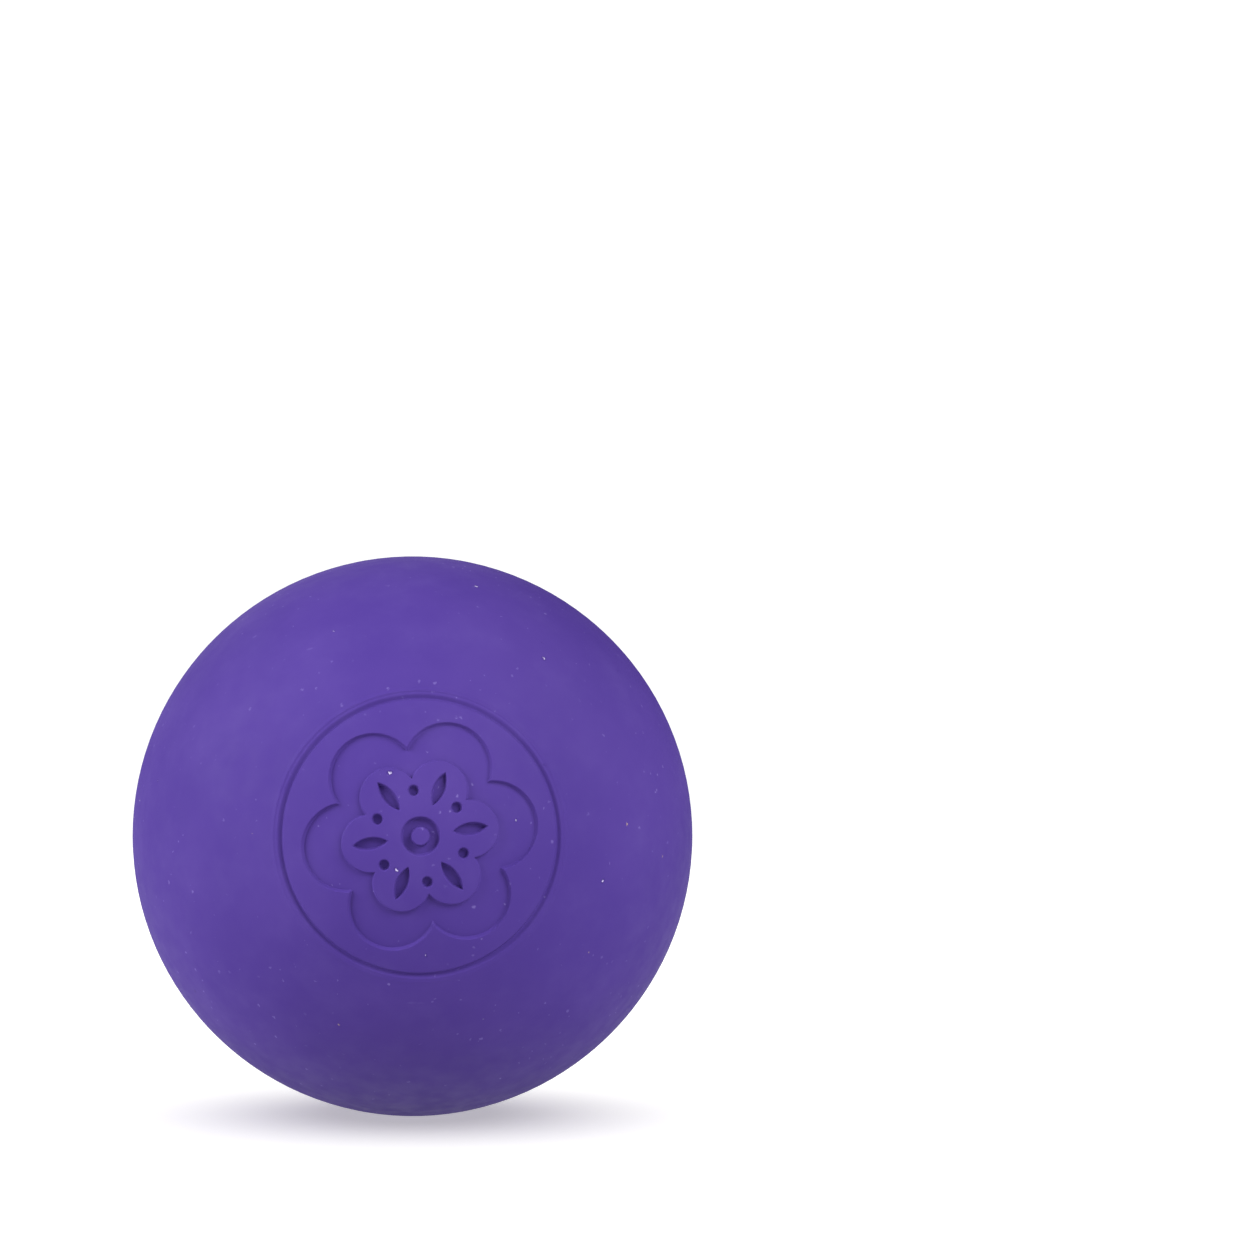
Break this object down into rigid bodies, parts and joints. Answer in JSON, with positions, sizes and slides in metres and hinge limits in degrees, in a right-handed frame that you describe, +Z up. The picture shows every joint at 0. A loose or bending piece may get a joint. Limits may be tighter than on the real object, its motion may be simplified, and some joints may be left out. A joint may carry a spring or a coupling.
{
  "type": "solid rubber ball",
  "caption": "Small solid moulded rubber ball with a matte skin, a fine parting line round its middle and a round debossed flower mark inside a ring groove.",
  "frame": {"origin": "the ball's centre", "axes": "+Z up; the round mark faces -Y; the covers' parting line lies in the plane Y = 0"},
  "size_m": [0.0636, 0.0636, 0.0636],
  "materials": {
    "cover_rubber": "matte, with fine pale dust and light scuffs",
    "core_rubber": "matte, cut-rubber grain"
  },
  "bodies": {
    "root": {"core": "core_rubber", "front_cover": "cover_rubber", "rear_cover": "cover_rubber"}
  },
  "joints": []
}
